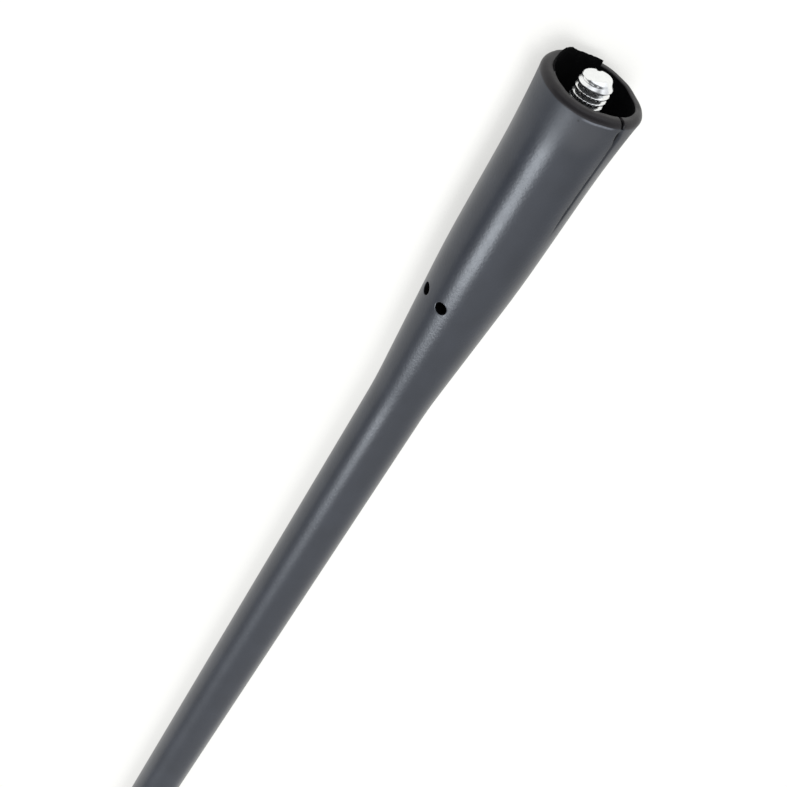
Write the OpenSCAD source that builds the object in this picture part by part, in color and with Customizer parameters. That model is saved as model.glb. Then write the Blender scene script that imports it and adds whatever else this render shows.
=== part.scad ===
// Car mast aerial: a rubber mast moulded over a turned threaded foot.
// Millimetres. The mast stands along +Z, the foot's rim lies in Z = 0 and the two halves
// of the mould met in the XZ plane, so the parting lines run up at -X and +X.

/* [Mast] */
// Length of the rubber from the rim to the rounded tip
mast_l = 400; // [200:1:560]
// Diameter of the sheath where it leaves the flared foot
sheath_d = 9.7; // [8.6:0.1:10.6]
// Diameter of the sheath at its tip
tip_d = 5.6; // [5.2:0.1:8]
// How far from the tip's corner its rounding starts
tip_round = 2.3; // [0.4:0.1:2.5]
// Solid rubber above the end of the rod
tip_cap = 12; // [6:0.5:30]

/* [Flared foot] */
// Outer diameter at the rim
rim_d = 15.7; // [15:0.1:18]
// Diameter where the bell's sweep turns into the straight grip
bell_d = 14.2; // [13.6:0.1:15]
// Height of that turn
bell_h = 10; // [8:0.5:14]
// Diameter at the shoulder, where the grip starts to narrow
shoulder_d = 13.2; // [12:0.1:13.6]
// Height of the shoulder
shoulder_h = 33; // [26:0.5:38]
// Height at which the cone above the shoulder meets the sheath
neck_h = 62; // [57:0.5:80]
// How far from its corner the bell's blend starts
bell_blend = 6; // [1:0.5:7]
// How far from its corner the shoulder's blend starts
shoulder_blend = 5; // [1:0.5:8]
// How far from its corner the neck's blend starts
neck_blend = 3.5; // [0.5:0.5:6]

/* [Rim] */
// Diameter of the cavity's mouth
mouth_d = 12.7; // [11.8:0.1:13]
// Rounding of the mouth's inner edge
mouth_round = 0.25; // [0.1:0.05:0.4]
// Rounding of the lip's outer edge
lip_round = 0.95; // [0.4:0.05:1.05]
// Height of the band that the mould's end plate formed
lip_band = 1.1; // [1.1:0.05:2]
// How far that band stands proud of the rest of the foot
lip_step = 0.07; // [0.02:0.01:0.15]
// Width of the notch where the parting line at -X crosses the lip
notch_w = 0.6; // [0.2:0.1:1]
// Depth of that notch
notch_t = 0.4; // [0.1:0.1:0.8]
// Direction of the notch, in degrees from -X towards -Y
notch_deg = 10; // [-15:1:15]
// Height of the flash left standing on the mouth's edge
flash_h = 0.55; // [0.2:0.05:0.8]
// Thickness of the flash
flash_t = 0.3; // [0.15:0.05:0.5]
// Direction in which the flash starts, in degrees from +X towards +Y
flash_from = -60; // [-90:1:0]
// How far round the mouth the flash runs from there, in degrees
flash_deg = 112; // [10:1:160]

/* [Cavity] */
// Depth of the cavity round the stud
cavity_h = 9; // [6:0.5:12]
// Diameter of the cavity at its floor
cavity_floor_d = 12; // [11:0.1:12.4]

/* [Locating pin holes] */
// Diameter of the holes that the mould's pins left
pin_hole_d = 2; // [1:0.1:3]
// Distance of the holes' axes below the barrel's upper end, which the pins bore on
pin_hole_inset = 4.5; // [2:0.5:7.5]
// Direction midway between the two holes of one half, in degrees from +X towards -Y
pin_mid_deg = 83.2; // [60:0.2:120]
// Angle between the two holes of one half
pin_spread_deg = 40; // [30:1:70]

/* [Threaded foot piece] */
// Outside diameter of the stud, M5
stud_d = 5; // [4:0.5:6]
// How far the stud stands out past the rim
stud_reach = 1.45; // [0.5:0.05:4]
// Chamfer at the stud's tip
stud_lead = 0.2; // [0.1:0.05:0.6]
// Diameter of the relief where the thread ends at the flange
relief_d = 3.9; // [3:0.1:3.9]
// Height of that relief
relief_h = 1.2; // [0.5:0.1:2]
// Diameter of the flange in the cavity's floor
flange_d = 9; // [8:0.1:10]
// Thickness of the flange
flange_t = 1.5; // [1:0.1:3]
// Diameter of the barrel that the rubber grips
barrel_d = 7; // [6.4:0.1:7.6]
// Length of the barrel above the flange
barrel_l = 34; // [28:0.5:38]
// Number of grooves round the barrel
groove_n = 5; // [2:1:7]
// Width of each groove
groove_w = 1.6; // [0.8:0.1:2]
// Distance from one groove to the next
groove_pitch = 3.6; // [3:0.1:3.8]
// Depth of each groove
groove_t = 0.4; // [0.1:0.05:0.6]
// Distance of the first groove above the flange
groove_inset = 3; // [0.5:0.5:4]
// Diameter of the crimped collar above the barrel
collar_d = 5.2; // [5:0.1:6.2]
// Length of the collar, with the cone below it
collar_l = 9.5; // [6:0.5:14]
// Depth of the socket for the rod
socket_h = 22; // [12:0.5:30]

/* [Core and winding] */
// Diameter of the glass-fibre rod
rod_d = 3; // [2.4:0.1:3.2]
// Diameter of the winding's wire
wire_d = 0.5; // [0.3:0.05:0.6]
// Turns of wire along the rod
wire_turns = 42; // [10:1:60]
// Bare end of the rod above the winding
rod_bare = 4; // [1:0.5:10]
// Wall of the shrunk sleeve over the winding
sleeve_t = 0.2; // [0.1:0.05:0.25]
// Height of the solder that joins the wire to the collar
solder_h = 0.8; // [0.4:0.1:1.5]
// Diameter of the solder
solder_d = 1.2; // [0.8:0.1:1.4]
// Free height above the collar, up to the sleeve
solder_room = 2.4; // [2:0.1:4]

/* [Fits] */
// Gap between the rubber and what it is moulded over
mould_fit = 0.03; // [0.01:0.01:0.06]
// Gap round the rod in its socket
socket_fit = 0.05; // [0.01:0.01:0.1]
// Gap between the wire's turns and their neighbours
wire_fit = 0.03; // [0.01:0.01:0.06]

/* [Hidden] */

fine = 96;
bend_n = 8;
coil_steps = 12;
coil_sides = 5;

flange_top = cavity_h + flange_t;
barrel_top = flange_top + barrel_l;
collar_top = barrel_top + collar_l;
collar_cone = (barrel_d - collar_d) / 2;
socket_r = rod_d / 2 + socket_fit;
rod_bottom = collar_top - socket_h;
rod_top = mast_l - tip_cap;

// The chords of the coil cut inside its true circle, so its radius is widened by their sag.
coil_clear = rod_d / 2 + wire_fit + wire_d / 2;
coil_r = coil_clear / cos(180 / coil_steps);
coil_bottom = collar_top + solder_h;
coil_top = rod_top - rod_bare;
coil_pitch = (coil_top - coil_bottom) / wire_turns;
sleeve_r = coil_r + wire_d / 2 + wire_fit;
sleeve_bottom = collar_top + solder_room;

// Outlines

function unit(v) = v / norm(v);

// Arc that rounds corner b between a and c. It starts a length t before the corner.
function bend(a, b, c, t) =
    let (
        u = unit(a - b),
        v = unit(c - b),
        half = acos(u * v) / 2,
        r = t * tan(half),
        o = b + unit(u + v) * r / sin(half),
        from = b + u * t - o,
        to = b + v * t - o,
        a0 = atan2(from.y, from.x),
        turn = (atan2(to.y, to.x) - a0 + 540) % 360 - 180
    )
    [for (i = [0:bend_n]) o + r * [cos(a0 + turn * i / bend_n), sin(a0 + turn * i / bend_n)]];

function flat(p) = [p.x, p.y];

// Outline through the corners [r, z, t], each rounded from a length t before it.
function rounded(path) = [
    for (i = [0:len(path) - 1])
        each (path[i].z > 0
            ? bend(flat(path[i - 1]), flat(path[i]), flat(path[i + 1]), path[i].z)
            : [flat(path[i])])
];

// Outside of the rubber, from the mouth round the lip and up to the tip
function jacket_outside() = rounded([
    [cavity_floor_d / 2, cavity_h, 0],
    [mouth_d / 2, 0, mouth_round],
    [rim_d / 2, 0, lip_round],
    [rim_d / 2, lip_band, 0],
    [rim_d / 2 - lip_step, lip_band, 0],
    [bell_d / 2, bell_h, bell_blend],
    [shoulder_d / 2, shoulder_h, shoulder_blend],
    [sheath_d / 2, neck_h, neck_blend],
    [tip_d / 2, mast_l, tip_round],
    [0, mast_l, 0]
]);

// Barrel and collar above the flange, grown by the gap c
function barrel_outline(c) = concat(
    [[flange_d / 2 + c, cavity_h], [flange_d / 2 + c, flange_top + c], [barrel_d / 2 + c, flange_top + c]],
    [
        for (i = [0:groove_n - 1])
            let (z = flange_top + groove_inset + i * groove_pitch)
            each [
                [barrel_d / 2 + c, z + c],
                [barrel_d / 2 - groove_t + c, z + c],
                [barrel_d / 2 - groove_t + c, z + groove_w - c],
                [barrel_d / 2 + c, z + groove_w - c]
            ]
    ],
    [[barrel_d / 2 + c, barrel_top + c], [collar_d / 2 + c, barrel_top + collar_cone + c]]
);

// What the rubber leaves free, from the cavity's floor up to the end of the rod
function jacket_inside() = concat(
    barrel_outline(mould_fit),
    [
        [collar_d / 2 + mould_fit, collar_top + solder_room - mould_fit],
        [sleeve_r + sleeve_t + mould_fit, collar_top + solder_room - mould_fit],
        [sleeve_r + sleeve_t + mould_fit, rod_top + mould_fit],
        [0, rod_top + mould_fit]
    ]
);

function reversed(list) = [for (i = [len(list) - 1:-1:0]) list[i]];

module turned(outline) rotate_extrude($fn = fine) polygon(outline);

// One-piece moulded rubber: flared foot, long tapered sheath and closed tip
module jacket() {
    color([0.16, 0.17, 0.18])
    difference() {
        union() {
            turned(concat(jacket_outside(), reversed(jacket_inside())));
            rim_flash();
        }
        locating_pins();
        rotate(180 + notch_deg) lip_notch();
    }
}

// Thin fin of rubber that squeezed out between the mould and the cavity's core
module rim_flash() {
    root = mouth_round + flash_t;
    rotate(flash_from) rotate_extrude(angle = flash_deg, $fn = fine)
        translate([mouth_d / 2, -flash_h])
            square([flash_t, flash_h + root]);
}

// The mould's pins that held the metal centred: two in each half
module locating_pins() {
    for (half = [-1, 1])
        for (k = [-0.5, 0.5])
            rotate(half * (pin_mid_deg + k * pin_spread_deg))
                translate([0, 0, barrel_top - pin_hole_inset])
                    rotate([0, 90, 0])
                        cylinder(d = pin_hole_d, h = rim_d / 2, $fn = 48);
}

module lip_notch() {
    translate([mouth_d / 4, 0, 0])
        rotate([90, 0, 90])
            linear_extrude(rim_d / 2)
                polygon([[-notch_w / 2, -notch_t], [0, notch_t], [notch_w / 2, -notch_t]]);
}

// Turned foot piece: stud, flange, grooved barrel and collar with the rod's socket
module base_stud() {
    color([0.82, 0.83, 0.84])
    turned(concat(
        [
            [0, -stud_reach],
            [stud_d / 2 - stud_lead, -stud_reach],
            [stud_d / 2, -stud_reach + stud_lead],
            [stud_d / 2, cavity_h - relief_h - (stud_d - relief_d) / 2],
            [relief_d / 2, cavity_h - relief_h],
            [relief_d / 2, cavity_h]
        ],
        barrel_outline(0),
        [
            [collar_d / 2, collar_top],
            [socket_r, collar_top],
            [socket_r, rod_bottom],
            [0, rod_bottom - socket_r / 2]
        ]
    ));
}

// Glass-fibre rod that keeps the mast straight
module core_rod() {
    color([0.85, 0.83, 0.7])
    translate([0, 0, rod_bottom])
        cylinder(d = rod_d, h = rod_top - rod_bottom, $fn = fine);
}

// Wire wound along the rod: the aerial itself
module wire_winding() {
    rise = atan2(coil_pitch, 360 * PI / 180 * coil_r);
    steps = wire_turns * coil_steps;
    rings = [
        for (i = [0:steps])
            let (
                turn = 360 * i / coil_steps,
                out = [cos(turn), sin(turn), 0],
                up = [sin(rise) * sin(turn), -sin(rise) * cos(turn), cos(rise)],
                centre = coil_r * out + [0, 0, coil_bottom + coil_pitch * i / coil_steps]
            )
            for (j = [0:coil_sides - 1])
                let (s = 360 * j / coil_sides)
                centre + wire_d / 2 * (cos(s) * out + sin(s) * up)
    ];
    walls = [
        for (i = [0:steps - 1])
            for (j = [0:coil_sides - 1])
                let (
                    a = i * coil_sides + j,
                    b = i * coil_sides + (j + 1) % coil_sides
                )
                each [[a, b, b + coil_sides], [a, b + coil_sides, a + coil_sides]]
    ];
    ends = [
        [for (j = [coil_sides - 1:-1:0]) j],
        [for (j = [0:coil_sides - 1]) steps * coil_sides + j]
    ];
    color([0.72, 0.42, 0.2])
    polyhedron(rings, concat(walls, ends));
}

// Drop of solder between the collar's end and the wire's
module solder_joint() {
    color([0.7, 0.71, 0.72])
    difference() {
        translate([coil_r, 0, collar_top])
            cylinder(d1 = solder_d, d2 = wire_d, h = solder_h - wire_d / 2, $fn = 48);
        translate([0, 0, collar_top - 1])
            cylinder(r = rod_d / 2 + wire_fit, h = solder_h + 2, $fn = fine);
    }
}

// Sleeve shrunk over the winding before the rubber was moulded on
module shrink_sleeve() {
    color([0.08, 0.08, 0.08])
    turned([
        [sleeve_r, sleeve_bottom],
        [sleeve_r + sleeve_t, sleeve_bottom],
        [sleeve_r + sleeve_t, rod_top],
        [sleeve_r, rod_top]
    ]);
}

jacket();
base_stud();
core_rod();
wire_winding();
solder_joint();
shrink_sleeve();
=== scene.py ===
import math
from collections import namedtuple

import bmesh
import bpy
from mathutils import Matrix, Vector, noise


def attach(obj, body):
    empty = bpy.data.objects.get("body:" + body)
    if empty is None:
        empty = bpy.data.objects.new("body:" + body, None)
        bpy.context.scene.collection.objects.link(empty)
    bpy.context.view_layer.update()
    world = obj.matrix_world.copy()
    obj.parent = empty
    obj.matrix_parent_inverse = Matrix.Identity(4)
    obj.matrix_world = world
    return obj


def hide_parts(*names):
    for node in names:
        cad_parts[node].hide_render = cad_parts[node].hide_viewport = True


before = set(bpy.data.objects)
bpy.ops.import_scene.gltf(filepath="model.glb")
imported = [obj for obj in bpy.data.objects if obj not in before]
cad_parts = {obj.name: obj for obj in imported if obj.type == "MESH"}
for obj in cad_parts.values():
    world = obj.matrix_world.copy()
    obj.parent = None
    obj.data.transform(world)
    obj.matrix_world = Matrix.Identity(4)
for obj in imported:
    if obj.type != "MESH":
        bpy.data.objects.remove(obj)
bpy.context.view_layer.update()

MM = 0.001

# The part's own sizes, in millimetres

MAST_L = 400.0
SHEATH_R = 4.85
TIP_R = 2.8
TIP_ROUND = 2.3
TIP_CAP = 12.0
RIM_R = 7.85
BELL_R, BELL_H = 7.1, 10.0
SHOULDER_R, SHOULDER_H = 6.6, 33.0
NECK_H = 62.0
BELL_BLEND, SHOULDER_BLEND, NECK_BLEND = 6.0, 5.0, 3.5
MOUTH_R = 6.3
MOUTH_ROUND = 0.18
LIP_ROUND = 0.95
LIP_BAND = 1.1
LIP_STEP, LIP_STEP_FADE = 0.07, 0.9
CAVITY_H = 9.0
CAVITY_FLOOR_R = 6.0
CAVITY_WAVE, CAVITY_WAVE_TURN, CAVITY_WAVE_Z = 0.03, 2, 0.3

STUD_R = 2.5
STUD_REACH = 1.45
RELIEF_R, RELIEF_H = 1.95, 1.2
FLANGE_R, FLANGE_T = 4.5, 1.5
BARREL_R, BARREL_TOP = 3.5, 44.5
BARREL_PLAIN_FROM = 29.9
GROOVES, GROOVE_W, GROOVE_PITCH, GROOVE_T, GROOVE_H = 5, 1.6, 3.6, 0.4, 13.5
COLLAR_R, COLLAR_TOP = 2.6, 54.0
SOCKET_R, SOCKET_H = 1.55, 22.0
SLEEVE_OUT_R = 2.35
SLEEVE_BOTTOM = 56.4
MOULD_FIT = 0.03

# Locating-pin holes, each in a block of the moulding's rows and columns that gives way to it.
# HOLE_SHARES place the rings between the block's edge and the hole's. HOLE_WALL has the rings
# beyond that edge as (radius, depth below the outside, rubber).

HOLE_R = 1.0
HOLE_Z = 40.0
HOLE_EDGE = 0.06
HOLE_DEGS = (63.2, 103.2, 256.8, 296.8)
HOLE_BLOCK_DEG = 19.0
HOLE_BLOCK_H = 1.4
HOLE_BLOCK_CLEAR = 0.2
HOLE_ROWS = 8
HOLE_SHARES = (0.45, 0.8)
HOLE_WALL = ((HOLE_R + 0.02, 0.02, 0), (HOLE_R, 0.08, 0), (HOLE_R, 0.5, 1), (HOLE_R, 1.4, 1))

# How finely the meshes are cut, in steps, millimetres or degrees

BEND_STEPS, LIP_STEPS, LIP_FLAT_STEPS, FLASH_STEPS = 10, 12, 3, 8
OUTER_PITCHES = ((25, 0.3), (66, 0.9), (math.inf, 8.0))
INNER_PITCH, CAVITY_PITCH, MOUTH_CLEAR = 40.0, 0.5, 0.05
LAST_STEP = 1.5
NEAR = 1e-6
COLUMN_RUNS = (
    (0, 3.2, 0.4), (3.2, 49.6, 1.0), (49.6, 52.8, 0.4), (52.8, 174, 2.0),
    (174, 186, 0.4), (186, 356.8, 2.0), (356.8, 360, 0.4),
)
THREAD_COLUMNS, THREAD_STEP = 160, 0.035
FACE_RINGS = (0.17, 0.34, 0.48, 0.6, 0.7, 0.77, 0.82, 0.87, 0.91, 0.94, 0.97, 1.0)
RUBBER_SHARP_DEG, METAL_SHARP_DEG = 32.0, 40.0

# Thread on the stud, and its slanted end with the chamfer, the run-out groove and a nick.
# A window, here and below, is (start, rise, end, fall).

THREAD_PITCH = 0.87
THREAD_T = 0.5
THREAD_ZERO_DEG, THREAD_ZERO_Z = -30.0, 0.4
THREAD_ROOT, THREAD_CREST = 0.08, 0.1
THREAD_FADES = (-0.38, -0.05)
END_R, END_EDGE = 2.1, 0.12
END_SHIFT, END_SHIFT_DEG = 0.27, -30.0
END_TILT, END_PROUD, END_TILT_FROM = 0.18, 0.1, 0.6
END_EDGE_MORE, CHAMFER_MORE = 0.28, 0.04
END_FULLER_WINDOW = (-25, 50, 75, 30)
CHAMFER_Z, CHAMFER_R, CHAMFER_H = -0.38, 2.07, 0.4
RUNOUT_Z, RUNOUT_T, RUNOUT_W = -1.12, 0.3, 0.26
RUNOUT_DEGS, RUNOUT_FADE = (-134.0, 15.0), 20.0
NICK_DEG, NICK_R, NICK_W, NICK_T = 43.0, 1.65, 0.2, 0.48
NICK_RISE, NICK_H, NICK_IN = 0.3, 0.5, 0.6

# Parting lines as (direction, side that they stray to, strength), with the notch, the gouge
# and the darkening laid in them. A noise, here and below, is (pitch, place, middle, swing).

SEAMS = ((0.0, -1, 0.7), (180.0, 1, 1.0), (360.0, -1, 0.7))
SEAM_WANDER_DEG, SEAM_WANDER_H = 10.0, 3.5
SEAM_LEAN_DEG = 0.03
SEAM_WINDOW_FROM, SEAM_WINDOW_DEG = 8, 30.0
SEAM_TOP, SEAM_FADE = 22.0, 5.0
SEAM_T, SEAM_W, SEAM_REACH = 0.13, 0.19, 3
SEAM_MISMATCH, SEAM_STEP, SEAM_STEP_W = 0.05, 0.12, 1.4
SEAM_NOISE = (0.7, 3.1, 0.75, 0.5)
NOTCH_SEAM, NOTCH_T, NOTCH_W = 180.0, 0.6, 0.3
NOTCH_LEAN, NOTCH_EDGE, NOTCH_SIDE, NOTCH_MOUTH = 0.5, 0.6, 0.3, 0.8
GOUGE_Z, GOUGE_T, GOUGE_W, GOUGE_H, GOUGE_OFF = 2.5, 0.4, 0.32, 0.75, 0.05
SEAM_DARK_W, SEAM_DARK_LINE, SEAM_DARK_OFF = 0.38, 0.52, 0.02
SEAM_DARK_Z, SEAM_DARK_RISE = 1.5, 0.5
SEAM_DARK_NOISE = (0.55, 8.2, 0.8, 0.6)
GOUGE_DARK_OFF, GOUGE_DARK_WIDER, GOUGE_DARK_HIGHER = 0.08, 1.15, 1.1
NOTCH_DARK_W = 0.8

# Flash on the mouth's edge as (direction, height). Its section has for each step how far it
# lies outward, its share of the lean and its share of the height.

FLASH_HEIGHTS = (
    (-60, 0.03), (-45, 0.28), (-33, 0.55), (-20, 0.82), (-9, 1.0), (0, 1.2), (8, 1.25),
    (13, 1.2), (16, 1.05), (22, 0.75), (32, 0.64), (44, 0.68), (52, 0.72),
)
FLASH_SECTION = (
    (0.0, 0.0, 0.0), (0.0, 0.0, 0.0), (0.02, 0.5, 0.45), (0.03, 1.0, 0.85), (0.08, 1.0, 1.0),
    (0.14, 1.0, 0.97), (0.19, 0.6, 0.6), (0.23, 0.0, 0.2), (MOUTH_ROUND, 0.0, 0.0),
)
FLASH_NOISES = ((0.35, 1.7, 0.0, 0.07), (1.3, 5.1, 0.0, 0.03))
FLASH_NOISE_FULL = 0.4
FLASH_LEAN_NOISE = (0.2, 9.3, 0.0, 0.05)

# The soft rim: its wave as (angle right of the camera, rise), the mouth's shift, the crease
# under its band, which is full in a window beside the seam, and the painted highlight along the
# band's edge

RIM_WAVE = (
    (-180, -0.1), (-150, -0.25), (-120, -0.35), (-90, -0.36), (-60, -0.3), (-40, -0.2),
    (-20, -0.04), (0, -0.03), (15, -0.1), (30, -0.22), (55, -0.19), (82, -0.02), (108, 0.25),
    (130, 0.33), (152, 0.1), (180, -0.1),
)
RIM_WAVE_H = 5.0
MOUTH_SHIFT, MOUTH_SHIFT_DEG, MOUTH_SHIFT_H = 0.12, 150.0, 3
CREASE_REST, CREASE_WINDOW = 0.12, (180.5, 2.5, 186, 18)
# Window and noise of the painted highlight along the lip band's edge
CREASE_HIGHLIGHT_WINDOW = (187.0, 10.0, 226.0, 10.0)
CREASE_HIGHLIGHT_NOISE = (0.4, 2.2, 0.75, 0.5)

# The photo's view of the part, from its pixels, and the camera's sensor (mm) and clip (m)

PHOTO = 787
FOCAL_PX = 1600.0
RIM_PX = (594.34, 86.11)
MAST_DIR_PX = (-0.534, 0.8455)
MAST_FAR_PX = 500
MAST_TURN_DEG = -0.2
VIEW_DEG = 64.2
RIM_DEPTH = 213.9
FACING_DEG = -120.0
SENSOR = 36.0
CLIP = (0.005, 20.0)

# Colours and finishes. A pair of edges says where the noise reaches the dark and the light one.

SOFT_EDGES, METAL_EDGES = (0.3, 0.7), (0.35, 0.65)
RUBBER_SCALE, RUBBER_ROUGH, RUBBER_GLOSS = 180.0, (0.27, 0.32), 0.5
RUBBER_DARK = (0.0192, 0.0222, 0.0292)
RUBBER_LIGHT = (0.0249, 0.0286, 0.0374)
RUBBER_GRAIN, RUBBER_GRAIN_DETAIL, RUBBER_GRAIN_T = 2600.0, 4.0, 0.00002
ROUGH_SCALE = 900.0
RIM_ROUGHER, ROUGH_FROM, ROUGH_TO = 0.14, 3.0, 10.0
LIP_SCALE, LIP_ROUGH, LIP_GLOSS = 400.0, (0.36, 0.42), 0.32
LIP_DARK = (0.0135, 0.0115, 0.0125)
LIP_LIGHT = (0.0185, 0.0165, 0.018)
# Painted sheen: a pale spot just above the lip, on the side that faces the camera, where the foot
# catches the light
SHEEN_SPOT_PLACE = (-139.0, 3.0, 1.0, 4.5)
SHEEN_SPOT_COLOUR = (0.04, 0.042, 0.048)
# Pale colour of the painted highlight along the crease under the lip band
CREASE_HIGHLIGHT_COLOUR = (0.21, 0.22, 0.245)
# Colour of the darkening in the parting line, its notch and its gouge
SEAM_DARK_COLOUR = (0.002, 0.002, 0.0025)
SPECKS = ((-124.5, 1.6, 0.22), (-108.8, 2.8, 0.16), (-108.0, 25.4, 0.25))
SPECK_COLOUR = (0.012, 0.013, 0.015)
# The cavity's rubber is near black: painted shade inside the foot's cavity and on the flash
CAVITY_SCALE, CAVITY_ROUGH, CAVITY_GLOSS = 700.0, 0.75, 0.08
CAVITY_SHADE_DARK, CAVITY_SHADE_LIGHT = (0.0022, 0.0022, 0.0024), (0.004, 0.004, 0.0043)
PLATING_SCALE, PLATING_METALLIC = 900.0, 0.95
PLATING_DARK, PLATING_LIGHT = (0.92, 0.93, 0.93), (0.97, 0.98, 0.97)
PLATING_ROUGH_SCALE, PLATING_ROUGH = 700.0, (0.17, 0.24)
FIBRE_SCALE, FIBRE_STRETCH, FIBRE_ROUGH = 1500.0, (1.0, 1.0, 0.03), 0.45
FIBRE_DARK, FIBRE_LIGHT = (0.62, 0.6, 0.44), (0.8, 0.78, 0.62)
COPPER_SCALE, COPPER_ROUGH = 1200.0, 0.3
COPPER_DARK, COPPER_LIGHT = (0.6, 0.26, 0.12), (0.72, 0.36, 0.17)
SOLDER_SCALE, SOLDER_ROUGH = 2500.0, 0.35
SOLDER_DARK, SOLDER_LIGHT = (0.55, 0.56, 0.57), (0.7, 0.71, 0.72)
SLEEVE_SCALE, SLEEVE_ROUGH = 1400.0, 0.5
SLEEVE_DARK, SLEEVE_LIGHT = (0.012, 0.012, 0.013), (0.022, 0.022, 0.024)

# The room that reflections see. Ranges are (from min, from max, to min, to max).

ROOM_LIGHT = 1.0
ROOM_TINT = (0.94, 0.96, 1.0)
ROOM_ACROSS = (-1.0, 1.0, 0.0, 1.0)
ROOM_SIDES = (
    (0.15, 0.15), (0.17, 0.25), (0.2, 0.72), (0.26, 0.9), (0.42, 1.3), (0.56, 1.45),
    (0.72, 1.45), (0.84, 1.2), (0.95, 0.7),
)
ROOM_RISE = (0.55, 0.85, 1.0, 0.52)
ROOM_DARK = 0.06
DARK_RHO = -10.0
DARK_TURN = (0.05, 0.45, 0.0, 1.0)
DARK_NEAR = (-0.25, 0.1, 0.0, 1.0)
DARK_FAR = (0.77, 0.88, 1.0, 0.0)
WINDOW_RHO, WINDOW_RISE, WINDOW_AIM_Z = -18.5, 33.5, 60.0
WINDOW_FAR, WINDOW_WIDE, WINDOW_TALL = 1500, 600, 260
WINDOW_WATTS, WINDOW_COLOUR = 9.2, (0.87, 0.93, 1.0)

# The sheet that the mast lies on, two metres wide, and the shade round the mast

SHEET_RHO = 24.0
SHEET_SIZE = 2.0
SHEET_GAP = 0.02
SHEET_WHITE, SHEET_MIRRORED = 0.92, 0.95
SHADE_REACH, SHADE_SAMPLES = 4.5, 4
SHADE_FROM, SHADE_TO = 0.5, 0.86
SHADE_DEEP, SHADE_BARE = 0.7, 1.03
SHADE_THINS, SHADE_THIN = (28.0, 60.0), 0.6
SHADE_TINT = (1.0, 1.0, 0.98)

# One row of a turned or moulded piece: radius, height, what it belongs to, and its step
# across the mouth's edge if it lies there
Row = namedtuple("Row", "r z kind step", defaults=(0,))


# Small helpers

def ease(x):
    x = min(1.0, max(0.0, x))
    return x * x * (3 - 2 * x)


def window(x, start, rise, end, fall):
    """0 up to start, 1 from start + rise to end, 0 again from end + fall."""
    return ease((x - start) / rise) * (1 - ease((x - end) / fall))


def bump(x, w):
    return math.exp(-((x / w) ** 2))


def along(table, x, shape=float):
    """Value at x of a table of (place, value), or None outside it."""
    for (a, low), (b, high) in zip(table, table[1:]):
        if a <= x <= b:
            return low + (high - low) * shape((x - a) / (b - a))
    return None


def uneven(x, form, line=None):
    """Smooth unevenness along x, the same for all lines or of each parting line's own."""
    pitch, place, middle, swing = form
    at = (x * pitch, place, 0.0) if line is None else (x * pitch, line, place)
    return middle + swing * noise.noise(Vector(at))


def rho_of(deg):
    """How far a direction lies right of the one that faces the camera."""
    return (FACING_DEG - deg + 180) % 360 - 180


# Outlines

def bend(a, b, c, t, steps):
    """Arc that rounds corner b, from a length t before it."""
    a, b, c = Vector(a), Vector(b), Vector(c)
    u, v = (a - b).normalized(), (c - b).normalized()
    half = u.angle(v) / 2
    r = t * math.tan(half)
    o = b + (u + v).normalized() * (r / math.sin(half))
    start, end = b + u * t - o, b + v * t - o
    a0 = math.atan2(start.y, start.x)
    turn = (math.atan2(end.y, end.x) - a0 + 3 * math.pi) % (2 * math.pi) - math.pi
    angles = [a0 + turn * i / steps for i in range(steps + 1)]
    return [(o.x + r * math.cos(a), o.y + r * math.sin(a)) for a in angles]


def rounded(path):
    """Path of (radius, height, blend) with an arc at each corner that has a blend."""
    out = []
    for i, (r, z, t) in enumerate(path):
        if t:
            out += bend(path[i - 1][:2], (r, z), path[i + 1][:2], t, BEND_STEPS)
        else:
            out.append((r, z))
    return out


def divided(path, pitch):
    """The path with its long runs cut up; pitch(z) is the step at height z."""
    out = [path[0]]
    for a, b in zip(path, path[1:]):
        done = 0.0
        length = math.dist(a, b)
        while True:
            z = a[1] + (b[1] - a[1]) * done / length
            step = pitch(z)
            if length - done <= step * LAST_STEP:
                break
            done += step
            share = done / length
            out.append((a[0] + (b[0] - a[0]) * share, a[1] + (b[1] - a[1]) * share))
        out.append(b)
    return out


def outer_pitch(z):
    return next(step for top, step in OUTER_PITCHES if z < top)


def outside_path():
    """Foot, sheath and tip, above the lip's band."""
    return divided(
        rounded([
            (RIM_R - LIP_STEP, LIP_BAND, 0),
            (BELL_R, BELL_H, BELL_BLEND),
            (SHOULDER_R, SHOULDER_H, SHOULDER_BLEND),
            (SHEATH_R, NECK_H, NECK_BLEND),
            (TIP_R, MAST_L, TIP_ROUND),
            (0, MAST_L, 0),
        ]),
        outer_pitch,
    )


OUTSIDE = outside_path()


def outside_radius(z):
    for a, b in zip(OUTSIDE, OUTSIDE[1:]):
        if a[1] <= z <= b[1]:
            return a[0] + (b[0] - a[0]) * (z - a[1]) / (b[1] - a[1])
    raise ValueError(z)


def barrel_path(gap):
    """Flange, grooved barrel and collar of the metal foot, or the rubber a gap away from them."""
    flange_top = CAVITY_H + FLANGE_T
    out = [
        (FLANGE_R + gap, CAVITY_H),
        (FLANGE_R + gap, flange_top + gap),
        (BARREL_R + gap, flange_top + gap),
    ]
    for i in range(GROOVES):
        z = GROOVE_H + i * GROOVE_PITCH
        out += [
            (BARREL_R + gap, z + gap),
            (BARREL_R - GROOVE_T + gap, z + gap),
            (BARREL_R - GROOVE_T + gap, z + GROOVE_W - gap),
            (BARREL_R + gap, z + GROOVE_W - gap),
        ]
    cone = BARREL_R - COLLAR_R
    return out + [(BARREL_R + gap, BARREL_TOP + gap), (COLLAR_R + gap, BARREL_TOP + cone + gap)]


# The moulding's rows and columns

def hole_heights():
    return [HOLE_Z - HOLE_BLOCK_H + 2 * HOLE_BLOCK_H * i / HOLE_ROWS for i in range(HOLE_ROWS + 1)]


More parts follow.
